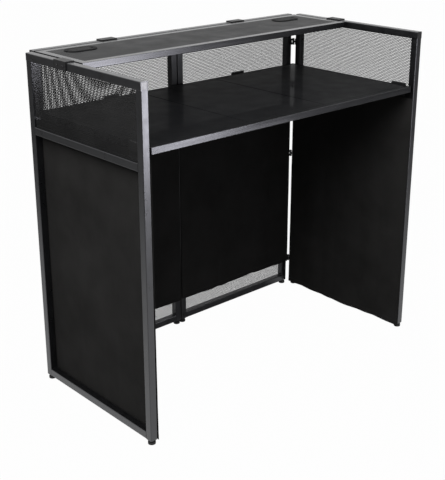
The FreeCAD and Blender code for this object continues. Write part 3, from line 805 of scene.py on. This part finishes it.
topPieces = {  # body, slot, finish and width of the broken edges
    "shelf_frame": ("shelf", "edge_trim", trimFinish, 0.0010),
    "shelf_board": ("shelf", "laminate", laminateFinish, 0.0005),
    "grommet_rings": ("shelf", "black_plastic", plasticFinish, 0.0008),
    "left_grommet_lid": ("left_lid", "black_plastic", lidFinish, 0.0006),
    "right_grommet_lid": ("right_lid", "black_plastic", lidFinish, 0.0006),
    "table_frame": ("table", "edge_trim", trimFinish, 0.0010),
    "table_boards": ("table", "laminate", tableFinish, 0.0016),
}
for nodeName, (body, slotName, finish, width) in topPieces.items():
    settle(softCopy(nodeName, camel(nodeName), width), body, slotName, finish, nodeName)

rim = {"reach": 0.0003, "facing": 0.95}
tableRim = bpy.data.objects["tableFrame"]
tableRim.data.materials.append(tableFinish)  # the laminate runs over the frame's top, up to its edge
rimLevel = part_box("table_frame")[1].z - rim["reach"]
for face in tableRim.data.polygons:
    if face.normal.z > rim["facing"] and face.center.z > rimLevel:
        face.material_index = 1
print("hinges, shelf and table dressed")

# floor, light and camera

floorLooks = {
    "size": 80, "colour": (0.25, 0.25, 0.255), "tone": 0.985, "toneScale": 3,
    "roughness": 0.9, "specular": 0.1,
    "lift": 0.985,  # how far the floor shows as white
    "far": 0.16, "farRange": (0.9, 3.4),  # painted falloff of light: the floor's glow in mirrors dims with the distance from the booth
    "shaded": 0.10, "shade": (0.60, 0.30), "shadeRange": (0.85, 1.05),  # painted shadow: the floor's glow in mirrors is dark inside the booth, where the booth's shadow falls
}
worldStrength = 0.34


def seenRays(tree):  # rays from the camera, mirrored or through glass
    rays = addNode(tree, "ShaderNodeLightPath")
    seen = addMath(tree, "MAXIMUM", rays.outputs["Is Camera Ray"], rays.outputs["Is Glossy Ray"])
    return rays, addMath(tree, "MAXIMUM", seen, rays.outputs["Is Transmission Ray"])


def makeFloor():
    selectNone()
    bpy.ops.mesh.primitive_plane_add(size=floorLooks["size"])
    floor = fixPlace(bpy.context.object, "floor")
    finish, tree, shader = newFinish("paleFloor")
    point = objectPoint(tree)
    tone = addRange(tree, addNoise(tree, point, floorLooks["toneScale"]), 0, 1)
    toned = tuple(value * floorLooks["tone"] for value in floorLooks["colour"])
    tree.links.new(addBlend(tree, tone, floorLooks["colour"], toned), shader.inputs["Base Color"])
    shader.inputs["Roughness"].default_value = floorLooks["roughness"]
    shader.inputs["Specular IOR Level"].default_value = floorLooks["specular"]
    rays, seen = seenRays(tree)
    away = addNode(tree, "ShaderNodeVectorMath", operation="LENGTH")
    tree.links.new(point, away.inputs[0])
    # painted falloff of light: in mirrors the floor's glow dims away from the booth
    paintedGlowDimming = addRange(tree, away.outputs["Value"], 0, 1 - floorLooks["far"], *floorLooks["farRange"])
    # painted shadow of the booth: in mirrors the floor's glow is dimmed inside the booth's footprint
    apart = addNode(tree, "ShaderNodeSeparateXYZ")
    tree.links.new(point, apart.inputs["Vector"])
    besideX, besideY = (addMath(tree, "ABSOLUTE", apart.outputs[axis]) for axis in "XY")
    aside = addMath(tree, "DIVIDE", besideX, floorLooks["shade"][0])
    deep = addMath(tree, "DIVIDE", besideY, floorLooks["shade"][1])
    outward = addMath(tree, "MAXIMUM", aside, deep)  # 1 at the booth's panels
    shaded = addRange(tree, outward, 1 - floorLooks["shaded"], 0, *floorLooks["shadeRange"])
    paintedGlowDimming = addMath(tree, "MAXIMUM", paintedGlowDimming, shaded)
    glow = addNode(tree, "ShaderNodeEmission", {"Color": (1, 1, 1, 1)})
    dimmed = addMath(tree, "MULTIPLY", rays.outputs["Is Glossy Ray"], paintedGlowDimming)
    tree.links.new(addMath(tree, "SUBTRACT", 1, dimmed), glow.inputs["Strength"])
    blend = addNode(tree, "ShaderNodeMixShader")
    tree.links.new(addMath(tree, "MULTIPLY", seen, floorLooks["lift"]), blend.inputs["Fac"])
    tree.links.new(shader.outputs["BSDF"], blend.inputs[1])
    tree.links.new(glow.outputs["Emission"], blend.inputs[2])
    tree.links.new(blend.outputs["Shader"], tree.nodes["Material Output"].inputs["Surface"])
    floor.data.materials.append(finish)


def makeWorld():
    world = bpy.data.worlds.new("studioWorld")
    world.use_nodes = True
    tree = world.node_tree
    back = tree.nodes["Background"]
    back.inputs["Color"].default_value = (1, 1, 1, 1)
    seen = seenRays(tree)[1]
    tree.links.new(addRange(tree, seen, worldStrength, 1.0, 0, 1), back.inputs["Strength"])
    scene.world = world


lamps = {
    "topSoftbox": {"energy": 29, "size": (3.2, 3.2), "at": (0.4, 0.2, 3.4), "towards": (0, 0, 0.8)},
    "leftFill": {"energy": 50, "size": (1.2, 1.2), "at": (-1.75, -1.0, 2.3), "towards": (0, 0, 0.6)},
    "edgeCard": {"energy": 36, "size": (0.80, 0.95), "at": (0.99, -2.45, 0.62), "towards": (-0.5, 0, 0.9),
                 "tint": (0.94, 0.93, 1.0), "mirroredOnly": True},
}


def addLamp(name, setting):
    selectNone()
    bpy.ops.object.light_add(type="AREA", location=setting["at"])
    lamp = bpy.context.object
    lamp.name = lamp.data.name = name
    lamp.data.energy = setting["energy"]
    lamp.data.color = setting.get("tint", (1, 1, 1))
    lamp.data.shape = "RECTANGLE"
    lamp.data.size, lamp.data.size_y = setting["size"]
    aim = Vector(setting["towards"]) - Vector(setting["at"])
    lamp.rotation_euler = aim.to_track_quat("-Z", "Y").to_euler()
    lamp.visible_camera = False
    lamp.visible_diffuse = not setting.get("mirroredOnly", False)


makeFloor()
makeWorld()
for name, setting in lamps.items():
    addLamp(name, setting)

cameraView = {
    "at": (-2.2003, -2.3785, 1.7022), "azimuth": 42.296, "pitch": 20.0,
    "lens": 72.85, "sensor": 36, "shiftY": -0.05, "clipEnd": 200,
}
selectNone()
bpy.ops.object.camera_add(location=cameraView["at"], rotation=(
    math.radians(90 - cameraView["pitch"]), 0, math.radians(-cameraView["azimuth"])))
camera = bpy.context.object
camera.name = "photoCamera"
camera.data.lens = cameraView["lens"]
camera.data.sensor_width = cameraView["sensor"]
camera.data.shift_y = cameraView["shiftY"]
camera.data.clip_end = cameraView["clipEnd"]
scene.camera = camera
print("stage and camera set")
